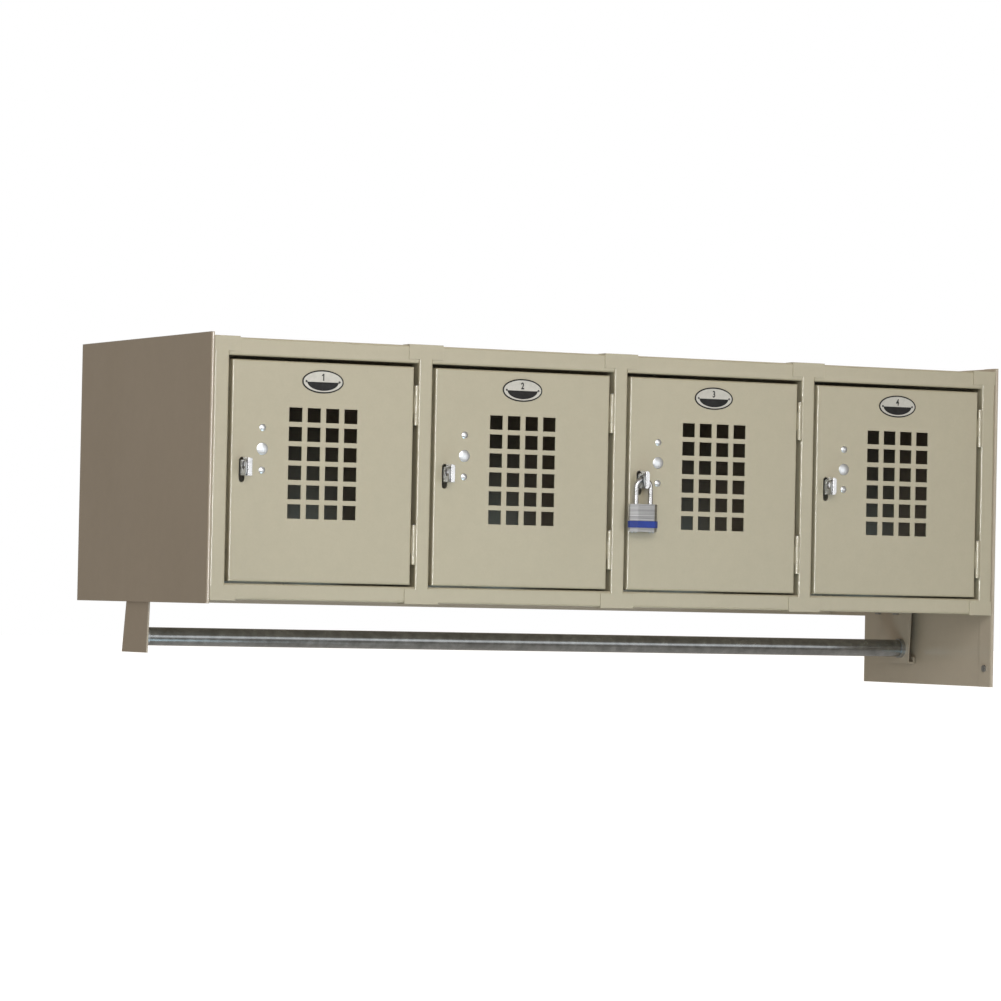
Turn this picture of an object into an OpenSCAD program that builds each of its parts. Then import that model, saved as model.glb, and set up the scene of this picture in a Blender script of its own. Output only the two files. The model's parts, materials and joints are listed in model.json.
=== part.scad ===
// Wall-hung locker cabinet: four compartments in a row behind perforated doors, a coat rod
// below them on two brackets, and a padlock on the third door.
// +Z is up, the doors face -Y and the back lies on y = 0. The origin is the centre of the
// wall-mounting holes, at half the cabinet's height.

/* [Cabinet] */
// Distance between the centres of neighbouring uprights
pitch = 304.8; // [295:0.1:330]
// Front of the face frame to the back panel's outer face
depth = 457; // [380:1:610]
// Height of the face frame
frame_h = 353; // [330:1:480]
// How far the end panels stand above and below the frame
panel_lip = 6; // [2:0.5:10]
// From the frame's side out to an end panel's outer face
panel_fold = 5.4; // [4:0.1:8]

/* [Face frame] */
// Width of an upright
upright_w = 21; // [19:0.5:24]
// Extra width of the two corner uprights on their outer side
corner_extra = 0.9; // [0:0.1:3]
// Height of a top rail's face
top_rail_h = 24.5; // [22:0.5:28]
// Height of a bottom rail's face
bottom_rail_h = 22; // [20:0.5:26]
// Width of the T-shaped heads of the three middle uprights
head_w = 52; // [44:1:70]
// Height of the heads
head_h = 20.5; // [16:0.5:22]

/* [Doors] */
// Width of a door
door_w = 272; // [262:0.5:272]
// Height of a door
door_h = 299; // [280:1:300]
// Gap at the hinge side of a door
hinge_gap = 7; // [7:0.1:9]
// Gap under a door
bottom_gap = 2.5; // [2:0.5:6]
// Depth of the door pan, front face to flange edge
pan_depth = 12; // [10:0.5:13]
// Side of the square ventilation holes
vent_size = 19.6; // [12:0.1:22]
// Column spacing of the ventilation holes
vent_pitch_x = 27.5; // [24:0.1:34]
// Row spacing of the ventilation holes
vent_pitch_z = 26.2; // [24:0.1:30]

/* [Hasp and padlock] */
// How far the staple and the pull stand out from the door
hasp_reach = 20; // [18:0.5:24]
// Diameter of the padlock's shackle
shackle_d = 7; // [6:0.1:7.5]
// Width of the padlock's body
lock_w = 43; // [38:1:44]
// Thickness of the padlock's body
lock_t = 21; // [18:0.5:22]

/* [Coat rod] */
// Outer diameter of the rod
rod_d = 25.4; // [19:0.1:32]
// Centre of the rod below the frame
rod_drop = 53.5; // [45:0.5:70]
// Centre of the rod behind the front of the frame
rod_back = 228.6; // [200:1:260]
// How far the right end panel hangs below the frame
tail_drop = 106; // [90:1:600]
// Front-to-back length of the hanging part
tail_depth = 356; // [300:1:370]

/* [Wall mounting] */
// Distance between the holes, sideways
wall_hole_dx = 812.8; // [406.4:0.1:900]
// Distance between the holes, up and down
wall_hole_dz = 203.2; // [150:0.1:260]
// Diameter of the holes
wall_hole_d = 9; // [6:0.5:12]

/* [Hidden] */
$fn = 48;
openings = 4;
padlock_door = 3;
frame_w = openings * pitch + upright_w + 2 * corner_extra;
half_w = frame_w / 2;
half_h = frame_h / 2;
front = -depth;
body_sheet = 1.2;
frame_sheet = 1.5;
frame_bend = 2.8;
end_sheet = 1.5;
back_sheet = 1.5;
head_proud = 1.5;
panel_x = half_w + panel_fold;
panel_half_h = half_h + panel_lip;
fold_depth = 28.5;
cheek = upright_w / 2;
cheek_depth = 22;
rail_flange = 25;
back_flange = 12;
floor_z = half_h - frame_sheet - body_sheet;
eps = 0.01;

// Door frame of reference: x from the centre line of the upright on the latch side
door_right = pitch - cheek - hinge_gap;
door_left = door_right - door_w;
door_cx = (door_left + door_right) / 2;
door_bottom = -half_h + bottom_rail_h + bottom_gap;
door_top = door_bottom + door_h;
door_face = front - 1;
door_sheet = 1.5;
door_round = 2.5;

// Hinges
hinge_x = pitch - cheek - hinge_gap / 2;
hinge_y = front - head_proud;
knuckle_r = 3.2;
pin_r = 1.6;
pin_play = 0.05;
outer_knuckle = 14.3;
middle_knuckle = 25;
knuckle_gap = 0.3;
leaf_sheet = 1.2;
leaf_y = 4.2;
leaf_end = 16;
hinge_h = 2 * outer_knuckle + 2 * knuckle_gap + middle_knuckle;
hinge_z = [94, -97];
outer_zs = [-hinge_h / 2, hinge_h / 2 - outer_knuckle];

// Hasp: slot, staple on the frame, pull on the door, with their eyes in line
slot_cx = 31.8;
slot_r = 4.2;
slot_low = -18.5;
slot_high = 15.5;
staple_x = 29;
staple_sheet = 2;
staple_low = -9.5;
staple_high = 11.5;
pull_x = 31.6;
pull_sheet = 1.8;
pull_low = -9.5;
pull_high = 14.5;
pull_flange = 6.2;
pull_foot = 15;
eye_y = front - 13;
eye_z = 4;
eye_r = 5.5;
jamb_lip = 8;
jamb_y = front + 15;

// Number plate and lock-hole plugs
plate_w = 61.5;
plate_h = 31.5;
plate_t = 1;
plate_cx = door_cx - 2;
plate_z = door_top - 26;
plate_rivet_dx = 49.4;

// Rivets in a door: [x, y of the face under the head, z, radius of the head]
rivet_r = 1;
rivet_head_h = 0.7;
rivet_spots = concat(
    [for (s = [-1, 1])
        [plate_cx + s * plate_rivet_dx / 2, door_face - plate_t, plate_z, 1.5]],
    [for (z = [pull_low + 5.5, pull_high - 5.5])
        [pull_x + pull_foot - 4, door_face - pull_sheet, z, 2.3]]
);
plug_x = door_left + 46.2;
plug_zs = [56, -1.5];
plug_big_z = 27.3;

// Ventilation holes
vent_cols = 4;
vent_rows = 6;
vent_cz = door_bottom + 161.5;

// Padlock
lock_cx = 32.2;
shackle_r = shackle_d / 2;
leg_dx = 11.5;
bow_z = eye_z - 1;
lock_top = bow_z + shackle_r - 38;
lock_plates = 15;
lock_plate_t = 2.6;
lock_groove = 0.35;
lock_chamfer = 8.5;
lock_play = 0.05;
heel_in = 24;
toe_in = 8;
bumper_h = 9.5;
bumper_t = 0.8;
bumper_rise = 5.6;

// Coat rod and brackets
rod_r = rod_d / 2;
rod_wall = 1.5;
rod_z = -half_h - rod_drop;
rod_y = front + rod_back;
bracket_sheet = 2.5;
web_xs = [half_w + 2, half_w - 8];
bracket_front = rod_y - 25.6;
bracket_low_front = rod_y - 20;
bracket_top_back = rod_y + 53;
bracket_low_back = rod_y + 67;
bracket_low = -half_h - 76;
bracket_fold = 30;
bracket_lip = 10;
socket_r = rod_r + 1.5;
socket_len = 6;
socket_face = 2;
bolt_r = 3;
bolt_head_r = 5.2;
bolt_head_h = 2.4;
bolt_tail = 1;
bracket_bolt_dy = 50;
bracket_bolt_inset = 17;
tail_screw = [front + 14, -half_h - 79];

doors = [1 : openings];
rails = [1 : openings];
middle_uprights = [1 : openings - 1];

function numbered(name, range) = [for (k = range) str(name, "_", k)];

enamel = "#b9b199";
shaded_enamel = "#a89f88";
zinc = "#9aa0a0";
chrome = "#d5d8da";

// x of upright number k, counted from 0 at the left corner
function upright_x(k) = (k - openings / 2) * pitch;

// Puts a door's parts, drawn from its latch-side upright, at door number k
module at_door(k) {
    translate([upright_x(k - 1), 0, 0]) children();
}

// A box between two corners
module box(low, high) {
    translate(low) cube(high - low);
}

// Both sides of the plane z = 0
module above_and_below() {
    children();
    mirror([0, 0, 1]) children();
}

// A flat plate lying in the Y-Z plane, from a profile drawn in (y, z)
module side_plate(x, thickness) {
    translate([x, 0, 0])
        rotate([90, 0, 90])
            linear_extrude(thickness) children();
}

// A hole or pin along Y, through y from the front
module along_y(x, y, z, r, length) {
    translate([x, y, z]) rotate([-90, 0, 0]) cylinder(r = r, h = length);
}

// ---------------------------------------------------------------- sheet-metal body

// Plan of an end panel at the right: sheet, front bead, fold, strip along the frame's side
module end_panel_plan(back) {
    bead_r = 2.5;
    translate([panel_x - end_sheet, front]) square([end_sheet, back - front]);
    translate([half_w, front]) square([panel_fold, end_sheet]);
    translate([half_w, front]) square([end_sheet, fold_depth]);
    translate([panel_x - bead_r - 0.1, front - 0.3]) circle(bead_r);
}

module end_panel(tail) {
    rear_flange = 19;
    difference() {
        union() {
            translate([0, 0, -panel_half_h])
                linear_extrude(2 * panel_half_h) end_panel_plan(-back_sheet);
            box([panel_x - rear_flange, -back_sheet - end_sheet, -floor_z + 1],
                [panel_x - eps, -back_sheet, floor_z - 1]);
            if (tail)
                translate([0, 0, -half_h - tail_drop])
                    linear_extrude(tail_drop + panel_lip) end_panel_plan(front + tail_depth);
        }
        if (tail)
            translate([half_w - 1, tail_screw[0], tail_screw[1]])
                rotate([0, 90, 0]) cylinder(r = bolt_r, h = end_sheet + 2);
    }
}

module left_end_panel() {
    color(shaded_enamel) mirror([1, 0, 0]) end_panel(false);
}

module right_end_panel() {
    color(shaded_enamel) end_panel(true);
}

module back_panel() {
    color(enamel)
        difference() {
            union() {
                box([-panel_x, -back_sheet, -panel_half_h], [panel_x, 0, panel_half_h]);
                above_and_below()
                    for (k = [0 : openings - 1])
                        box([upright_x(k) + 12, -back_sheet - back_flange, floor_z - body_sheet],
                            [upright_x(k + 1) - 12, -back_sheet, floor_z]);
            }
            for (sx = [-1, 1])
                for (sz = [-1, 1])
                    along_y(sx * wall_hole_dx / 2, -5, sz * wall_hole_dz / 2, wall_hole_d / 2, 10);
        }
}

module cover_sheet() {
    box([-panel_x + end_sheet, front + fold_depth, floor_z],
        [panel_x - end_sheet, -back_sheet, floor_z + body_sheet]);
    box([-half_w, front + frame_sheet, floor_z],
        [half_w, front + fold_depth, floor_z + body_sheet]);
}

module top_panel() {
    color(enamel) cover_sheet();
}

module bottom_panel() {
    color(enamel)
        difference() {
            mirror([0, 0, 1]) cover_sheet();
            for (s = [0, 1]) at_web(s) bracket_bolt_holes();
        }
}

module divider(k) {
    front_edge = front + 4;
    back_edge = -back_sheet;
    flange = cheek - frame_sheet;
    color(enamel)
        translate([upright_x(k), 0, 0]) {
            box([-body_sheet / 2, front_edge, -floor_z], [body_sheet / 2, back_edge, floor_z]);
            for (y = [front_edge, back_edge - body_sheet])
                box([-flange, y, -floor_z], [flange, y + body_sheet, floor_z]);
        }
}

// ---------------------------------------------------------------- face frame

// Solid section, width across and d back, with its two front corners rounded
module pan_section(width, d, r) {
    translate([-width / 2, r]) square([width, d - r]);
    translate([-width / 2 + r, 0]) square([width - 2 * r, d]);
    for (s = [-1, 1]) translate([s * (width / 2 - r), r]) circle(r);
}

// Folded channel of the given sheet, open at the back
module channel_section(width, d, r, sheet) {
    difference() {
        pan_section(width, d, r);
        translate([-width / 2 + sheet, sheet]) square([width - 2 * sheet, d]);
    }
}

// Upright at x = 0: face, two cheeks, and the stop lip beside the door on its right
module upright_body(left, right, lip) {
    top = half_h + head_proud;
    difference() {
        translate([(left + right) / 2, front - head_proud, -top])
            linear_extrude(2 * top)
                channel_section(right - left, cheek_depth + head_proud, frame_bend, frame_sheet);
        above_and_below()
            box([left - 1, front, floor_z], [right + 1, front + cheek_depth + 1, top + 1]);
    }
    if (lip)
        box([right - eps, jamb_y, -half_h + 30],
            [right + jamb_lip, jamb_y + frame_sheet, half_h - 30]);
}

// One head of an upright, lapping over the top rails
module upright_head(left, right) {
    top = half_h + head_proud;
    box([left, front - head_proud, top - head_h], [right, front, top]);
    box([left, front - head_proud, half_h], [right, front + 20, top]);
}

module upright(k) {
    color(enamel)
        translate([upright_x(k), 0, 0]) {
            upright_body(-cheek, cheek, true);
            above_and_below() upright_head(-head_w / 2, head_w / 2);
        }
}

module left_upright() {
    color(enamel) {
        translate([upright_x(0), 0, 0]) {
            upright_body(-cheek - corner_extra, cheek, true);
            above_and_below() upright_head(-cheek - corner_extra, head_w / 2);
        }
    }
}

module right_upright() {
    color(enamel)
        translate([upright_x(openings), 0, 0]) {
            upright_body(-cheek, cheek + corner_extra, false);
            above_and_below() upright_head(-head_w / 2, cheek + corner_extra);
        }
}

// Channel between two uprights, centred on z
module rail_channel(z, height) {
    translate([cheek, front, z])
        rotate([0, 90, 0])
            linear_extrude(pitch - 2 * cheek)
                channel_section(height, rail_flange, frame_bend, frame_sheet);
}

module top_rail(k) {
    color(enamel) at_door(k) rail_channel(half_h - top_rail_h / 2, top_rail_h);
}

module bottom_rail(k) {
    color(enamel) at_door(k) rail_channel(bottom_rail_h / 2 - half_h, bottom_rail_h);
}

// ---------------------------------------------------------------- doors

// Rounded block centred on x and z, its front face at y = 0
module pan_block(width, height, d, r) {
    intersection() {
        translate([0, 0, -height / 2]) linear_extrude(height) pan_section(width, d, r);
        rotate([0, 90, 0])
            translate([0, 0, -width / 2]) linear_extrude(width) pan_section(height, d, r);
    }
}

module vents() {
    for (c = [0 : vent_cols - 1])
        for (r = [0 : vent_rows - 1])
            translate([
                door_cx + (c - (vent_cols - 1) / 2) * vent_pitch_x,
                door_face,
                vent_cz + (r - (vent_rows - 1) / 2) * vent_pitch_z
            ])
                cube([vent_size, 4 * door_sheet, vent_size], center = true);
}

module slot() {
    along_y(slot_cx, door_face - 2, slot_low + slot_r, slot_r, 6);
    along_y(slot_cx, door_face - 2, slot_high - slot_r, slot_r, 6);
    box([slot_cx - slot_r, door_face - 2, slot_low + slot_r],
        [slot_cx + slot_r, door_face + 4, slot_high - slot_r]);
}

module rivet_shanks() {
    for (spot = rivet_spots)
        along_y(spot[0], spot[1], spot[2], rivet_r, pull_sheet + door_sheet + 1);
}

module plug_holes() {
    for (z = plug_zs) along_y(plug_x, door_face - 1, z, 3.2, 5);
    along_y(plug_x, door_face - 1, plug_big_z, 6.5, 5);
}

module door(k) {
    color(enamel)
        at_door(k)
            difference() {
                translate([door_cx, door_face, (door_bottom + door_top) / 2])
                    difference() {
                        pan_block(door_w, door_h, pan_depth, door_round);
                        translate([0, door_sheet, 0])
                            pan_block(door_w - 2 * door_sheet, door_h - 2 * door_sheet,
                                      pan_depth, door_round - door_sheet);
                    }
                vents();
                slot();
                plug_holes();
                rivet_shanks();
            }
}

module door_rivets(k) {
    color(chrome)
        at_door(k) {
            rivet_shanks();
            for (spot = rivet_spots)
                translate([spot[0], spot[1] - rivet_head_h, spot[2]])
                    rotate([-90, 0, 0]) cylinder(r1 = spot[3] / 2, r2 = spot[3], h = rivet_head_h);
        }
}

// Domed filler for an unused lock hole: cap on the face, body through it
module plug(z, cap_r, dome_h, body_r) {
    sphere_r = (cap_r * cap_r + dome_h * dome_h) / (2 * dome_h);
    intersection() {
        translate([plug_x, door_face - dome_h + sphere_r, z]) sphere(sphere_r, $fn = 64);
        along_y(plug_x, door_face - 2 * dome_h, z, cap_r, 2 * dome_h);
    }
    along_y(plug_x, door_face - eps, z, body_r, door_sheet + 2);
}

module lock_plugs(k) {
    color(chrome)
        at_door(k) {
            for (z = plug_zs) plug(z, 5, 1.8, 3.2);
            plug(plug_big_z, 8.5, 1.3, 6.5);
        }
}

// Points of an ellipse with the given half axes
function ellipse(a, b) = [for (i = [0 : 5 : 355]) [a * cos(i), b * sin(i)]];

module number_plate(k) {
    rim = 1.8;
    relief = 0.3;
    color("#b4b4ae")
        at_door(k)
            difference() {
                translate([plate_cx, door_face, plate_z])
                    rotate([90, 0, 0])
                        difference() {
                            linear_extrude(plate_t) polygon(ellipse(plate_w / 2, plate_h / 2));
                            translate([0, 0, plate_t - relief])
                                linear_extrude(1)
                                    polygon(ellipse(plate_w / 2 - rim, plate_h / 2 - rim));
                        }
                rivet_shanks();
            }
}

// ---------------------------------------------------------------- hinges

// A knuckle with its tab to the leaf; side is 1 for the frame's leaf and -1 for the door's
module knuckle(z, length, side) {
    translate([hinge_x, hinge_y, z]) {
        cylinder(r = knuckle_r, h = length);
        box([min(side * (hinge_gap / 2 - leaf_sheet), side * hinge_gap / 2), 0, 0],
            [max(side * (hinge_gap / 2 - leaf_sheet), side * hinge_gap / 2), leaf_y + 1, length]);
    }
}

module leaf(side) {
    translate([hinge_x, hinge_y, -hinge_h / 2])
        box([min(side * (hinge_gap / 2 - leaf_sheet), side * hinge_gap / 2), leaf_y, 0],
            [max(side * (hinge_gap / 2 - leaf_sheet), side * hinge_gap / 2),
             side > 0 ? leaf_end : pan_depth, hinge_h]);
}

module bore(r) {
    translate([hinge_x, hinge_y, -hinge_h]) cylinder(r = r, h = 2 * hinge_h);
}

module hinge_frame_leaves() {
    color(enamel)
        for (k = doors)
            for (z = hinge_z)
                at_door(k)
                    translate([0, 0, z])
                        difference() {
                            union() {
                                leaf(1);
                                for (low = outer_zs) knuckle(low, outer_knuckle, 1);
                            }
                            bore(pin_r);
                        }
}

module door_hinge_leaves(k) {
    color(enamel)
        for (z = hinge_z)
            at_door(k)
                translate([0, 0, z])
                    difference() {
                        union() {
                            leaf(-1);
                            knuckle(-middle_knuckle / 2, middle_knuckle, -1);
                        }
                        bore(pin_r + pin_play);
                    }
}

module hinge_pins() {
    color(zinc)
        for (k = doors)
            for (z = hinge_z)
                at_door(k)
                    translate([hinge_x, hinge_y, z - hinge_h / 2]) {
                        cylinder(r = pin_r, h = hinge_h + 0.5);
                        translate([0, 0, hinge_h]) cylinder(r1 = 2.6, r2 = 1.8, h = 1);
                    }
}

module door_bumpers() {
    bumper_r = 3;
    bumper_len = jamb_y - (door_face + pan_depth) - 0.3;
    color("#303030")
        for (k = doors)
            for (z = [door_bottom + 40, door_top - 40])
                at_door(k) along_y(cheek + 4.6, jamb_y - bumper_len, z, bumper_r, bumper_len);
}

// ---------------------------------------------------------------- hasp

module eye() {
    translate([eye_y, eye_z]) circle(eye_r);
}

module nose(back, low, high, r) {
    tip = front - 1 - hasp_reach;
    translate([tip + r, low]) square([back - tip - r, high - low]);
    translate([tip, low + r]) square([r + 1, high - low - 2 * r]);
    for (z = [low + r, high - r]) translate([tip + r, z]) circle(r);
}

// Plate on the frame that comes through the door's slot
module staple(k) {
    base_y = jamb_y + frame_sheet;
    color(zinc)
        at_door(k) {
            side_plate(staple_x, staple_sheet)
                difference() {
                    nose(base_y + staple_sheet, staple_low, staple_high, 4.5);
                    eye();
                }
            box([cheek, base_y, staple_low],
                [staple_x + eps, base_y + staple_sheet, staple_high]);
        }
}

// Chrome channel on the door, open to the right: foot, side with the eye, front flange
module pull(k) {
    tip = front - 1 - hasp_reach;
    side_back = door_face;
    bend = 2;
    color(chrome)
        at_door(k)
            difference() {
                union() {
                    side_plate(pull_x, pull_sheet)
                        difference() {
                            translate([tip + bend, pull_low])
                                square([side_back - tip - bend, pull_high - pull_low]);
                            eye();
                        }
                    intersection() {
                        translate([0, 0, pull_low])
                            linear_extrude(pull_high - pull_low) pull_front_plan(tip, bend);
                        pull_front_outline();
                    }
                    box([pull_x + pull_sheet - eps, door_face - pull_sheet, pull_low],
                        [pull_x + pull_foot, door_face, pull_high]);
                }
                rivet_shanks();
            }
}

// Plan of the pull's bend and front flange
module pull_front_plan(tip, bend) {
    difference() {
        union() {
            translate([pull_x + bend, tip + bend]) circle(bend);
            translate([pull_x + bend, tip]) square([pull_flange - bend, pull_sheet]);
            translate([pull_x, tip + bend]) square([pull_sheet, bend]);
        }
        translate([pull_x + pull_sheet, tip + pull_sheet]) square([pull_flange, 4]);
    }
}

// Front view of the flange, with its two right-hand corners rounded
module pull_front_outline() {
    corner = 4;
    right = pull_x + pull_flange;
    translate([0, front, 0])
        rotate([90, 0, 0])
            linear_extrude(2 * hasp_reach) {
                translate([pull_x - 1, pull_low])
                    square([pull_flange + 1 - corner, pull_high - pull_low]);
                translate([pull_x - 1, pull_low + corner])
                    square([pull_flange + 1, pull_high - pull_low - 2 * corner]);
                for (z = [pull_low + corner, pull_high - corner])
                    translate([right - corner, z]) circle(corner);
            }
}

// ---------------------------------------------------------------- padlock

module at_padlock() {
    at_door(padlock_door) translate([lock_cx, eye_y, 0]) children();
}

module padlock_shackle() {
    bow_c = bow_z - leg_dx;
    color(chrome)
        at_padlock() {
            translate([0, 0, bow_c])
                rotate([90, 0, 0])
                    rotate_extrude(angle = 180) translate([leg_dx, 0]) circle(shackle_r);
            translate([-leg_dx, 0, lock_top - heel_in])
                cylinder(r = shackle_r, h = bow_c - lock_top + heel_in);
            translate([leg_dx, 0, lock_top - toe_in])
                cylinder(r = shackle_r, h = bow_c - lock_top + toe_in);
        }
}

// Chamfered rectangle: the outline of one plate, shrunk by inset
module lock_outline(inset) {
    a = lock_w / 2 - inset;
    b = lock_t / 2 - inset;
    c = lock_chamfer;
    polygon([[a, b - c], [a - c, b], [c - a, b], [-a, b - c],
             [-a, c - b], [c - a, -b], [a - c, -b], [a, c - b]]);
}

module padlock_body() {
    color(zinc)
        at_padlock()
            difference() {
                union() {
                    for (i = [0 : lock_plates - 1])
                        translate([0, 0, lock_top - (i + 1) * lock_plate_t])
                            linear_extrude(lock_plate_t - lock_groove) lock_outline(0);
                    translate([0, 0, lock_top - lock_plates * lock_plate_t])
                        linear_extrude(lock_plates * lock_plate_t - 1) lock_outline(lock_groove);
                    for (x = [-14, 14])
                        for (y = [-5, 5])
                            translate([x, y, lock_top - lock_plates * lock_plate_t - 1.6])
                                cylinder(r1 = 1.4, r2 = 2.4, h = 1.7);
                }
                translate([-leg_dx, 0, lock_top - heel_in - 10])
                    cylinder(r = shackle_r + lock_play, h = heel_in + 20);
                translate([leg_dx, 0, lock_top - toe_in - 1])
                    cylinder(r = shackle_r + lock_play, h = toe_in + 20);
            }
}

// Soft ring round the lower part of the padlock
module padlock_bumper() {
    low = lock_top - lock_plates * lock_plate_t + bumper_rise;
    color("#2a3f8f")
        at_padlock()
            translate([0, 0, low])
                linear_extrude(bumper_h)
                    difference() {
                        lock_outline(-bumper_t);
                        lock_outline(0);
                    }
}

// ---------------------------------------------------------------- coat rod

// Bracket 0 is the left one, mirrored, and 1 the right one; x runs outwards from the web
module at_web(s) {
    mirror([1 - s, 0, 0]) translate([web_xs[s], 0, 0]) children();
}

module coat_rod() {
    inset = bracket_sheet + socket_face;
    color(zinc)
        translate([inset - web_xs[0], rod_y, rod_z])
            rotate([0, 90, 0])
                difference() {
                    cylinder(r = rod_r, h = web_xs[0] + web_xs[1] - 2 * inset);
                    translate([0, 0, -1])
                        cylinder(r = rod_r - rod_wall, h = web_xs[0] + web_xs[1] + 2);
                }
}

// Cups that hold the rod's ends, one on each bracket
module rod_sockets() {
    color(chrome)
        for (s = [0, 1])
            at_web(s)
                translate([-bracket_sheet, rod_y, rod_z])
                    rotate([0, -90, 0])
                        difference() {
                            cylinder(r = socket_r, h = socket_len);
                            translate([0, 0, socket_face]) cylinder(r = rod_r, h = socket_len);
                        }
}

// Puts bolts or holes at a bracket's two fixing points under the cabinet
module at_bracket_bolts(z) {
    for (s = [-1, 1])
        translate([-bracket_sheet - bracket_bolt_inset,
                   (bracket_front + bracket_top_back) / 2 + s * bracket_bolt_dy / 2, z])
            children();
}

module bracket_bolt_holes() {
    at_bracket_bolts(-half_h - 5) cylinder(r = bolt_r, h = 12);
}

// Bracket: top flange and tapered web, and on request a bottom flange with an upturned lip
module rod_bracket(lipped) {
    top = -half_h + frame_sheet;
    difference() {
        union() {
            side_plate(-bracket_sheet, bracket_sheet)
                polygon([[bracket_low_front, bracket_low], [bracket_low_back, bracket_low],
                         [bracket_top_back, top], [bracket_front, top]]);
            box([-bracket_sheet - bracket_fold, bracket_front, top - bracket_sheet],
                [-eps, bracket_top_back, top]);
            if (lipped) {
                box([-eps, bracket_low_front, bracket_low],
                    [bracket_lip, bracket_low_back, bracket_low + bracket_sheet]);
                box([bracket_lip - bracket_sheet, bracket_low_front, bracket_low],
                    [bracket_lip, bracket_low_back, bracket_low + bracket_lip]);
            }
        }
        bracket_bolt_holes();
    }
}

module left_rod_bracket() {
    color(shaded_enamel) at_web(0) rod_bracket(false);
}

module right_rod_bracket() {
    color(enamel) at_web(1) rod_bracket(true);
}

// Hexagon-headed bolt along +Z: head below z = 0, shank above
module bolt(length) {
    translate([0, 0, -bolt_head_h]) cylinder(r = bolt_head_r, h = bolt_head_h, $fn = 6);
    cylinder(r = bolt_r, h = length);
}

module bolts() {
    color(zinc) {
        for (s = [0, 1])
            at_web(s)
                at_bracket_bolts(-half_h + frame_sheet - bracket_sheet)
                    bolt(bracket_sheet + body_sheet + bolt_tail);
        translate([half_w, tail_screw[0], tail_screw[1]])
            rotate([0, 90, 0]) bolt(end_sheet + 2);
    }
}

// ---------------------------------------------------------------- parts

left_end_panel();
right_end_panel();
back_panel();
top_panel();
bottom_panel();
for (k = middle_uprights) divider(k);
left_upright();
right_upright();
for (k = middle_uprights) upright(k);
for (k = rails) top_rail(k);
for (k = rails) bottom_rail(k);
hinge_frame_leaves();
hinge_pins();
door_bumpers();
for (k = doors) staple(k);
coat_rod();
rod_sockets();
left_rod_bracket();
right_rod_bracket();
bolts();
for (k = doors) door(k);
for (k = doors) door_hinge_leaves(k);
for (k = doors) pull(k);
for (k = doors) number_plate(k);
for (k = doors) lock_plugs(k);
for (k = doors) door_rivets(k);
padlock_shackle();
padlock_body();
padlock_bumper();
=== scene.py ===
"""Wall-hung locker cabinet: finishes, printed numbers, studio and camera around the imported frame."""
import json
import math

import bmesh
import bpy
from mathutils import Euler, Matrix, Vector


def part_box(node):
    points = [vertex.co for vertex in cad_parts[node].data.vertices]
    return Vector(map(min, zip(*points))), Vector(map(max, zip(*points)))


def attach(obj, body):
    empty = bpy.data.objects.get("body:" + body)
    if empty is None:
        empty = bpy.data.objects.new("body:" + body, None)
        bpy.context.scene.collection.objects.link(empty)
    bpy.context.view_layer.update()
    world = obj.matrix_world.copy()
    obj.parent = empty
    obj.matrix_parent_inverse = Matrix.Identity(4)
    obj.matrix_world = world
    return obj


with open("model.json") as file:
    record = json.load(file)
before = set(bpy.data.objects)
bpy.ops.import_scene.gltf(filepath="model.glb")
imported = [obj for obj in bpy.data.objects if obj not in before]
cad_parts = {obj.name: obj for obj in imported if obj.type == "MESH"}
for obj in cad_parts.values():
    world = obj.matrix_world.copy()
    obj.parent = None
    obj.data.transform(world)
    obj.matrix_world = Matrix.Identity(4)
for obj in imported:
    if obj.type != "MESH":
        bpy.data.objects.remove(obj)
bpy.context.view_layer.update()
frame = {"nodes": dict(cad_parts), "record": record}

MM = 0.001


# ---------------------------------------------------------------- node helpers


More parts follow.
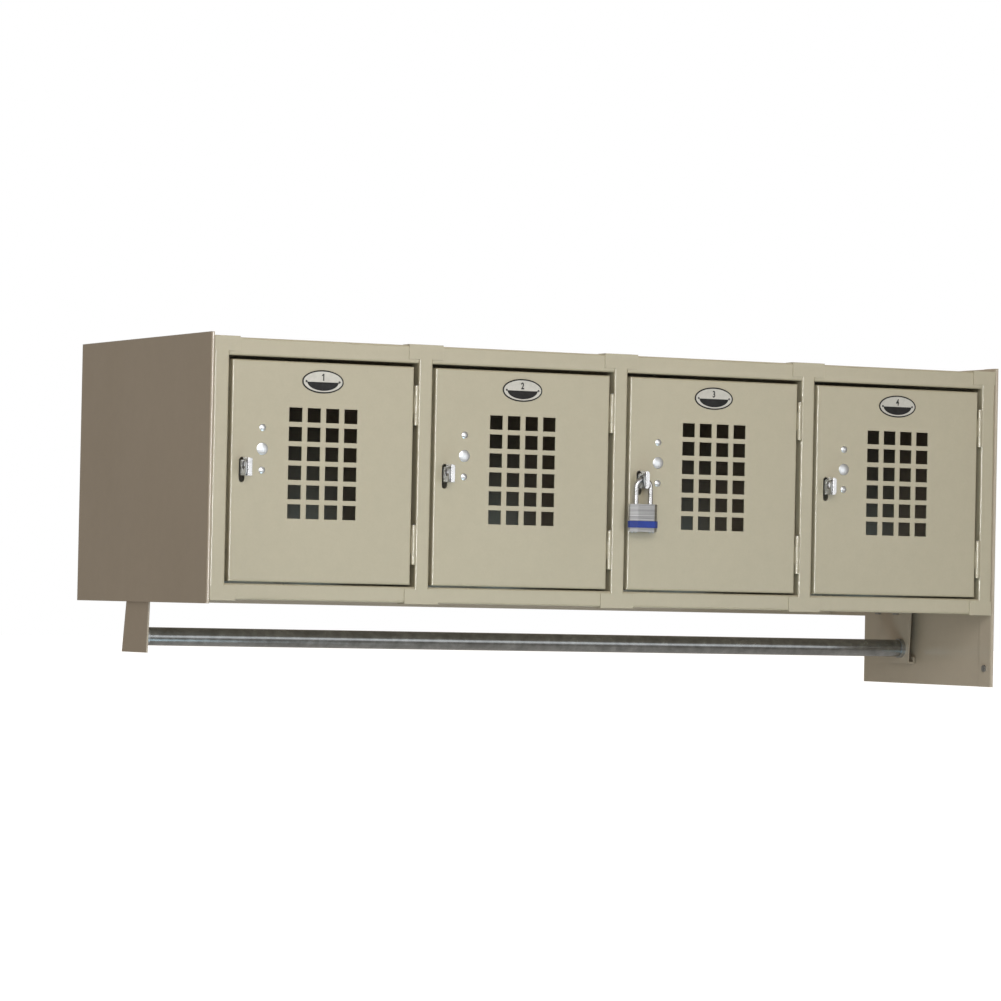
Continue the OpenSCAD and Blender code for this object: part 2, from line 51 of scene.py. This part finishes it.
class Finish:
    """A node material, with short calls to add and link its nodes."""

    def __init__(self, name):
        self.material = bpy.data.materials.new(name)
        self.material.use_nodes = True
        self.tree = self.material.node_tree
        self.shader = self.tree.nodes["Principled BSDF"]
        self.place = self.node("ShaderNodeTexCoord").outputs["Object"]
        self.box_place = self.node("ShaderNodeTexCoord").outputs["Generated"]

    def node(self, kind, settings=None, **inputs):
        """New node; an input's name has _ for a space, and its value may be a socket to link."""
        made = self.tree.nodes.new(kind)
        for key, value in (settings or {}).items():
            setattr(made, key, value)
        for key, value in inputs.items():
            self.feed(made, key.replace("_", " "), value)
        return made

    def feed(self, node, key, value):
        """Link or set the input that key names, or numbers where names repeat."""
        socket = node.inputs[int(key)] if key.isdigit() else node.inputs[key]
        if isinstance(value, bpy.types.NodeSocket):
            self.tree.links.new(value, socket)
        else:
            socket.default_value = value

    def noise(self, scale, detail=3.0, roughness=0.55, place=None):
        made = self.node("ShaderNodeTexNoise", Scale=scale, Detail=detail, Roughness=roughness)
        self.feed(made, "Vector", place or self.place)
        return made.outputs["Fac"]

    def stretched(self, x, y, z):
        """Coordinates scaled along each axis, so that a noise becomes streaks."""
        return self.node("ShaderNodeMapping", Vector=self.place, Scale=(x, y, z)).outputs["Vector"]

    def fit(self, value, low, high, to_low, to_high):
        """value brought from low..high to to_low..to_high."""
        made = self.node("ShaderNodeMapRange")
        for key, number in zip("01234", (value, low, high, to_low, to_high)):
            self.feed(made, key, number)
        return made.outputs["Result"]

    def math(self, operation, a, b=0.0):
        made = self.node("ShaderNodeMath", {"operation": operation})
        self.feed(made, "0", a)
        self.feed(made, "1", b)
        return made.outputs[0]

    def blend(self, factor, a, b, kind="MIX"):
        made = self.node("ShaderNodeMix", {"data_type": "RGBA", "blend_type": kind})
        self.feed(made, "0", factor)
        for key, colour in (("6", a), ("7", b)):
            self.feed(made, key, colour if hasattr(colour, "links") else (*colour, 1.0))
        return made.outputs[2]

    def bump(self, height, distance, strength=1.0, under=None):
        made = self.node("ShaderNodeBump", Height=height, Distance=distance, Strength=strength)
        if under is not None:
            self.feed(made, "Normal", under)
        return made.outputs["Normal"]

    def soft_edge(self, radius):
        """Normal that rounds sharp edges over the given radius."""
        return self.node("ShaderNodeBevel", {"samples": 4}, Radius=radius).outputs["Normal"]

    def edge_mask(self, rounded):
        """0 on flat faces, towards 1 where the rounded normal leaves the face's own."""
        own = self.node("ShaderNodeNewGeometry").outputs["Normal"]
        dot = self.node("ShaderNodeVectorMath", {"operation": "DOT_PRODUCT"})
        self.feed(dot, "0", own)
        self.feed(dot, "1", rounded)
        return self.fit(dot.outputs["Value"], 0.995, 0.8, 0.0, 1.0)

    def set(self, **inputs):
        """Link or set inputs of the surface shader; a colour is three numbers."""
        for key, value in inputs.items():
            if isinstance(value, tuple):
                value = (*value, 1.0)
            self.feed(self.shader, key.replace("_", " "), value)


# ---------------------------------------------------------------- finishes


def enamel(name, colour, edge_highlight_share):
    """Baked putty enamel on sheet steel: faint clouds, orange peel, waviness, and a painted highlight that
    lightens the edges.
    """
    f = Finish(name)
    clouds = f.noise(3.0, 4.0)
    dust = f.noise(55.0, 5.0, 0.65)
    speck = f.noise(420.0, 2.0)
    tone = f.math("ADD", f.fit(clouds, 0.3, 0.7, 0.965, 1.03), f.fit(dust, 0.3, 0.7, -0.02, 0.02))
    tone = f.math("ADD", tone, f.fit(speck, 0.3, 0.7, -0.012, 0.012))
    rounded = f.soft_edge(0.7 * MM)
    edges = f.edge_mask(rounded)
    # Painted highlight: the rounded edges are blended towards a lighter copy of the paint colour, by the
    # given share.
    base = f.blend(f.math("MULTIPLY", edges, edge_highlight_share), colour, tuple(min(1.0, 1.35 * c) for c in colour))
    shade = f.node("ShaderNodeCombineColor", Red=tone, Green=tone, Blue=tone).outputs[0]
    f.set(Base_Color=f.blend(1.0, base, shade, "MULTIPLY"))
    smears = f.noise(14.0, 4.0, 0.6, f.stretched(1.0, 1.0, 0.35))
    f.set(Roughness=f.fit(smears, 0.25, 0.75, 0.36, 0.5))
    wave = f.bump(f.noise(5.0, 1.0), 1.2 * MM, 0.5, rounded)
    peel = f.bump(f.noise(650.0, 2.0), 0.05 * MM, 0.35, wave)
    f.set(Normal=peel)
    f.shader.inputs["Specular IOR Level"].default_value = 0.45
    f.shader.inputs["Coat Weight"].default_value = 0.7
    f.shader.inputs["Coat Roughness"].default_value = 0.16
    return f.material


def plated(name, colour, dull, low, high, streaks, bite=0.03, banded=False):
    """Plated or bare metal: blotches in tone and gloss, hairline scratches or bands along streaks."""
    f = Finish(name)
    blotch = f.noise(70.0, 4.0, 0.6)
    lines = f.noise(1.0, 3.0, 0.7, f.stretched(*streaks))
    tone = f.fit(lines if banded else blotch, 0.3, 0.7, 0.0, 1.0)
    f.set(Base_Color=f.blend(tone, dull, colour), Metallic=1.0)
    mixed = f.math("ADD", f.math("MULTIPLY", blotch, 0.5), f.math("MULTIPLY", lines, 0.5))
    f.set(Roughness=f.fit(mixed, 0.3, 0.7, low, high))
    rounded = f.soft_edge(0.35 * MM)
    f.set(Normal=f.bump(lines, bite * MM, 0.5, rounded))
    return f.material


# Number plate, in millimetres: its size, its rim, and the half-moon's half axes and straight top edge.
PLATE_W, PLATE_H, PLATE_RIM = 61.5, 31.5, 1.8
MOON_HALF_W, MOON_HALF_H, MOON_TOP = 23.6, 12.2, -0.4


def number_plate_finish(name):
    """Satin silver plate with a dark enamelled rim and a dark half-moon in its lower half."""
    f = Finish(name)
    parts = f.node("ShaderNodeSeparateXYZ", Vector=f.box_place).outputs
    across = f.fit(parts["X"], 0.0, 1.0, -PLATE_W / 2, PLATE_W / 2)
    up = f.fit(parts["Z"], 0.0, 1.0, -PLATE_H / 2, PLATE_H / 2)

    def outside(half_w, half_h):
        """1 outside the ellipse with these half axes."""
        reach = f.math(
            "ADD",
            f.math("POWER", f.math("ABSOLUTE", f.math("DIVIDE", across, half_w)), 2.0),
            f.math("POWER", f.math("ABSOLUTE", f.math("DIVIDE", up, half_h)), 2.0),
        )
        return f.fit(reach, 0.985, 1.015, 0.0, 1.0)

    rim = outside(PLATE_W / 2 - PLATE_RIM, PLATE_H / 2 - PLATE_RIM)
    moon = f.math("SUBTRACT", 1.0, outside(MOON_HALF_W, MOON_HALF_H))
    moon = f.math("MULTIPLY", moon, f.fit(up, MOON_TOP - 0.3, MOON_TOP, 1.0, 0.0))
    painted = f.math("MAXIMUM", rim, moon)
    grain = f.noise(1.0, 3.0, 0.6, f.stretched(60.0, 60.0, 2600.0))
    stain = f.noise(160.0, 4.0, 0.6)
    silver = f.blend(f.fit(stain, 0.3, 0.7, 0.0, 1.0), (0.54, 0.53, 0.485), (0.62, 0.605, 0.555))
    dark = f.blend(f.fit(stain, 0.3, 0.7, 0.0, 1.0), (0.009, 0.009, 0.009), (0.02, 0.02, 0.021))
    f.set(Base_Color=f.blend(painted, silver, dark))
    f.set(Metallic=f.fit(painted, 0.0, 1.0, 0.35, 0.0))
    f.set(Roughness=f.fit(f.math("ADD", grain, f.math("MULTIPLY", painted, 0.4)), 0.3, 1.0, 0.34, 0.6))
    f.set(Normal=f.bump(f.math("ADD", grain, painted), 0.03 * MM, 0.4, f.soft_edge(0.3 * MM)))
    f.shader.inputs["Specular IOR Level"].default_value = 0.3
    return f.material


def vinyl(name, colour, deep, roughness, grain):
    """Moulded soft plastic or rubber: pebbled skin with scuffs."""
    f = Finish(name)
    scuff = f.noise(120.0, 5.0, 0.7)
    pebble = f.noise(grain, 2.0)
    rounded = f.soft_edge(0.6 * MM)
    f.set(Base_Color=f.blend(f.fit(scuff, 0.35, 0.7, 0.0, 1.0), deep, colour))
    f.set(Roughness=f.fit(scuff, 0.3, 0.7, roughness - 0.08, roughness + 0.08))
    f.set(Normal=f.bump(pebble, 0.06 * MM, 0.5, rounded))
    return f.material


def ink(name):
    """Slightly uneven black print."""
    f = Finish(name)
    patch = f.noise(900.0, 3.0)
    f.set(Base_Color=f.blend(f.fit(patch, 0.3, 0.7, 0.0, 1.0), (0.012, 0.011, 0.01), (0.03, 0.028, 0.026)))
    f.set(Roughness=f.fit(patch, 0.3, 0.7, 0.4, 0.6))
    f.set(Normal=f.bump(patch, 0.02 * MM, 0.4))
    return f.material


ROUND = (300, 300, 300)  # streak scales that leave no direction
finishes = {
    # The last number of each enamel is the share of painted highlight on its edges.
    "body_enamel": enamel("body_enamel", (0.50, 0.43, 0.335), 0.25),
    "frame_enamel": enamel("frame_enamel", (0.475, 0.433, 0.312), 0.35),
    "door_enamel": enamel("door_enamel", (0.465, 0.423, 0.302), 0.45),
    "zinc": plated("zinc", (0.46, 0.47, 0.475), (0.32, 0.33, 0.335), 0.25, 0.45, (90, 90, 900)),
    # Painted shade: the rod's zinc colours are darker than the metal's own, standing in for the dark
    # surroundings it reflects.
    "rod_zinc": plated("rod_zinc", (0.34, 0.355, 0.36), (0.20, 0.21, 0.215), 0.14, 0.3, (6, 700, 700)),
    "chrome_plate": plated(
        "chrome_plate", (0.62, 0.625, 0.635), (0.48, 0.485, 0.49), 0.18, 0.28, (120, 120, 1400), 0.01
    ),
    "plug_chrome": plated("plug_chrome", (0.80, 0.83, 0.86), (0.70, 0.73, 0.76), 0.3, 0.42, ROUND, 0.01),
    "rivet_steel": plated("rivet_steel", (0.16, 0.16, 0.16), (0.07, 0.07, 0.07), 0.4, 0.55, ROUND),
    "plate_silver": number_plate_finish("plate_silver"),
    "laminated_steel": plated(
        "laminated_steel", (0.56, 0.565, 0.57), (0.22, 0.22, 0.22), 0.32, 0.46, (6, 6, 430), 0.1, banded=True
    ),
    "bumper_blue": vinyl("bumper_blue", (0.018, 0.055, 0.36), (0.012, 0.035, 0.25), 0.55, 900.0),
    "bumper_rubber": vinyl("bumper_rubber", (0.03, 0.03, 0.03), (0.015, 0.015, 0.015), 0.7, 700.0),
}
slots = {part["node"]: part["material_slot"] for part in frame["record"]["subparts"]}
for node, slot in slots.items():
    for material_slot in frame["nodes"][node].material_slots:
        material_slot.material = finishes[slot]


# ---------------------------------------------------------------- printed numbers

DIGIT_H, DIGIT_LIFT = 9.6 * MM, 6.2 * MM  # height, and middle above the plate's middle
DIGIT_SQUEEZE = 0.78  # width, as a share of the font's
DIGIT_BOLD = 0.032  # how far the font's outline is thickened, in its own units
PRINT_T = 0.12 * MM  # thickness of the print, half of it sunk in the plate's face
PLATE_RELIEF = 0.3 * MM  # depth of the plate's face behind its rim
black_ink = ink("number_ink")


def flagged_one():
    """A 1 with a flag, a unit high and 2 PRINT_T deep, because the font's own is a bare stroke."""
    stem = ((-0.12, -0.5), (0.12, -0.5), (0.12, 0.5), (-0.06, 0.5))
    flag = ((-0.36, 0.3), (-0.36, 0.12), (-0.12, 0.24))
    mesh = bpy.data.meshes.new("number_1_outline")
    build = bmesh.new()
    front = build.faces.new([build.verts.new((x, y, PRINT_T)) for x, y in stem + flag])
    made = bmesh.ops.extrude_face_region(build, geom=[front])["geom"]
    back = [item for item in made if isinstance(item, bmesh.types.BMVert)]
    bmesh.ops.translate(build, verts=back, vec=(0.0, 0.0, -2.0 * PRINT_T))
    bmesh.ops.recalc_face_normals(build, faces=build.faces)
    build.to_mesh(mesh)
    build.free()
    return mesh


def font_digit(k):
    """The digit k as the font draws it, thickened, and 2 PRINT_T deep."""
    text = bpy.data.curves.new(f"number_{k}_outline", "FONT")
    text.body = str(k)
    text.extrude = PRINT_T
    text.resolution_u = 6
    text.offset = DIGIT_BOLD
    drawn = bpy.data.objects.new(f"number_{k}_outline", text)
    bpy.context.scene.collection.objects.link(drawn)
    bpy.context.view_layer.update()
    mesh = bpy.data.meshes.new_from_object(drawn)
    bpy.data.objects.remove(drawn)
    return mesh


def printed_digit(k):
    """The number on door k's plate, as a thin raised print on its recessed face."""
    low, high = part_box(f"number_plate_{k}")
    mesh = flagged_one() if k == 1 else font_digit(k)
    xs = [v.co.x for v in mesh.vertices]
    ys = [v.co.y for v in mesh.vertices]
    size = DIGIT_H / (max(ys) - min(ys))
    mid_x, mid_y = (min(xs) + max(xs)) / 2, (min(ys) + max(ys)) / 2
    centre = (low + high) / 2
    face = low.y + PLATE_RELIEF
    for v in mesh.vertices:
        v.co = Vector((
            centre.x + (v.co.x - mid_x) * size * DIGIT_SQUEEZE,
            face - v.co.z / 2,
            centre.z + DIGIT_LIFT + (v.co.y - mid_y) * size,
        ))
    piece = bpy.data.objects.new(f"number_{k}", mesh)
    bpy.context.scene.collection.objects.link(piece)
    mesh.materials.clear()
    mesh.materials.append(black_ink)
    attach(piece, f"door_{k}")


for k in (1, 2, 3, 4):
    printed_digit(k)


# ---------------------------------------------------------------- studio

FLOOR_Z = -2.8
FLOOR_HALF = 250.0


def floor():
    """Pale matt floor, which shows white to the camera."""
    mesh = bpy.data.meshes.new("studio_floor")
    build = bmesh.new()
    bmesh.ops.create_grid(build, x_segments=1, y_segments=1, size=FLOOR_HALF)
    bmesh.ops.translate(build, verts=build.verts, vec=(0.0, 0.0, FLOOR_Z))
    build.to_mesh(mesh)
    build.free()
    obj = bpy.data.objects.new("studio_floor", mesh)
    bpy.context.scene.collection.objects.link(obj)
    f = Finish("studio_floor")
    patch = f.noise(0.6, 3.0)
    f.set(Base_Color=f.blend(f.fit(patch, 0.3, 0.7, 0.0, 1.0), (0.80, 0.78, 0.75), (0.84, 0.82, 0.79)))
    f.set(Roughness=f.fit(patch, 0.3, 0.7, 0.85, 0.95))
    f.shader.inputs["Specular IOR Level"].default_value = 0.1
    f.shader.inputs["Emission Color"].default_value = (1.0, 1.0, 1.0, 1.0)
    seen = f.node("ShaderNodeLightPath").outputs["Is Camera Ray"]
    f.set(Emission_Strength=f.math("MULTIPLY", seen, 0.9))
    mesh.materials.append(f.material)


def soft_light(name, place, aim, width, height, watts, colour, diffuse=True, gloss=True, only=None):
    """Area light that the camera doesn't see; only= is a collection that says what it reaches."""
    light = bpy.data.lights.new(name, "AREA")
    light.shape = "RECTANGLE"
    light.size, light.size_y = width, height
    light.energy = watts
    light.color = colour
    obj = bpy.data.objects.new(name, light)
    bpy.context.scene.collection.objects.link(obj)
    obj.location = place
    obj.rotation_euler = (Vector(aim) - Vector(place)).to_track_quat("-Z", "Y").to_euler()
    obj.visible_camera = False
    obj.visible_diffuse = diffuse
    obj.visible_glossy = gloss
    if only is not None:
        obj.light_linking.receiver_collection = only


def receivers(name, nodes, state="INCLUDE"):
    """Collection that has a light reach only these CAD nodes, or with EXCLUDE all but these."""
    group = bpy.data.collections.new(name)
    for node in nodes:
        group.objects.link(frame["nodes"][node])
    for member in group.collection_objects:
        member.light_linking.link_state = state
    return group


def studio_world(seen, lighting):
    """A white backdrop for the camera and a dimmer grey one for the light it gives."""
    world = bpy.data.worlds.new("studio")
    bpy.context.scene.world = world
    world.use_nodes = True
    tree = world.node_tree
    tree.nodes.clear()
    path = tree.nodes.new("ShaderNodeLightPath")
    mix = tree.nodes.new("ShaderNodeMixShader")
    out = tree.nodes.new("ShaderNodeOutputWorld")
    tree.links.new(path.outputs["Is Camera Ray"], mix.inputs[0])
    for index, colour in ((1, lighting), (2, seen)):
        back = tree.nodes.new("ShaderNodeBackground")
        back.inputs["Color"].default_value = (*colour, 1.0)
        tree.links.new(back.outputs[0], mix.inputs[index])
    tree.links.new(mix.outputs[0], out.inputs["Surface"])


floor()
studio_world((1.0, 1.0, 1.0), (0.32, 0.29, 0.255))

FRONT = (0.0, -0.45, 0.0)
WHITE = (1.0, 1.0, 1.0)
COOL = (0.97, 0.98, 1.0)

# Flat sheets would glare in other views, so the lights in front miss the top sheet, and each small card
# reaches only the pieces that it is for.
off_top = receivers("off_top", ["top_panel"], "EXCLUDE")
bare = receivers("bare", [node for node, slot in slots.items() if not slot.endswith("enamel")])
edged = receivers("edged", [node for node, slot in slots.items() if slot in ("frame_enamel", "door_enamel")])
left_bead = receivers("left_bead", ["left_end_panel"])

soft_light("key", (-0.72, -2.5, 0.75), (-0.25, -0.45, 0.0), 1.4, 1.2, 25.8, (1.0, 0.99, 0.98), only=off_top)
soft_light("front_card", (1.7, -4.6, -0.1), FRONT, 2.8, 2.0, 25.0, (0.95, 0.975, 1.0), only=off_top)
soft_light("side_card", (-3.0, -3.1, 0.3), FRONT, 0.7, 2.4, 38.0, COOL, diffuse=False, only=bare)
soft_light("edge_card", (-2.65, -3.84, 0.0), FRONT, 0.6, 0.7, 105.0, COOL, diffuse=False, only=edged)
soft_light(
    "bead_card", (0.1, -4.6, -0.1), (-0.62, -0.46, 0.0), 0.7, 2.4, 215.0, COOL, diffuse=False, only=left_bead
)
soft_light("under_card", (-0.3, -1.3, -1.3), (0.4, -0.35, -0.2), 0.8, 0.8, 6.0, (0.62, 0.88, 1.0))
soft_light("rear_card", (2.2, 3.4, 1.9), (0.0, 0.0, 0.0), 2.0, 2.0, 95.0, WHITE, gloss=False)
soft_light("top_card", (0.0, 0.2, 3.0), (0.0, -0.2, 0.0), 1.6, 1.6, 30.0, WHITE, gloss=False)


def inside_light(k):
    """Faint blue light in the lower rear right corner of compartment k, which shows through the vents."""
    low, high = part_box(f"door_{k}")
    corner = Vector((high.x, -0.06, low.z + 0.02))
    place = corner - Vector((0.075, 0.03, 0.0))
    soft_light(f"inside_{k}", place, corner, 0.1, 0.05, 0.03, (0.5, 0.78, 1.0), gloss=False)


for k in (1, 2, 3, 4):
    inside_light(k)


# ---------------------------------------------------------------- camera

CAMERA_PLACE = (-3.173, -6.307, -0.170)  # metres
CAMERA_TURN = (91.200, -1.170, -27.077)  # degrees
CAMERA_LENS, SENSOR_WIDTH = 170.9, 36.0  # millimetres

camera_data = bpy.data.cameras.new("camera")
camera_data.lens = CAMERA_LENS
camera_data.sensor_width = SENSOR_WIDTH
camera_data.clip_start, camera_data.clip_end = 0.1, 1000.0
camera = bpy.data.objects.new("camera", camera_data)
bpy.context.scene.collection.objects.link(camera)
camera.location = CAMERA_PLACE
camera.rotation_euler = Euler([math.radians(a) for a in CAMERA_TURN], "XYZ")
bpy.context.scene.camera = camera
bpy.context.scene.view_settings.view_transform = "Standard"
bpy.context.scene.view_settings.look = "None"
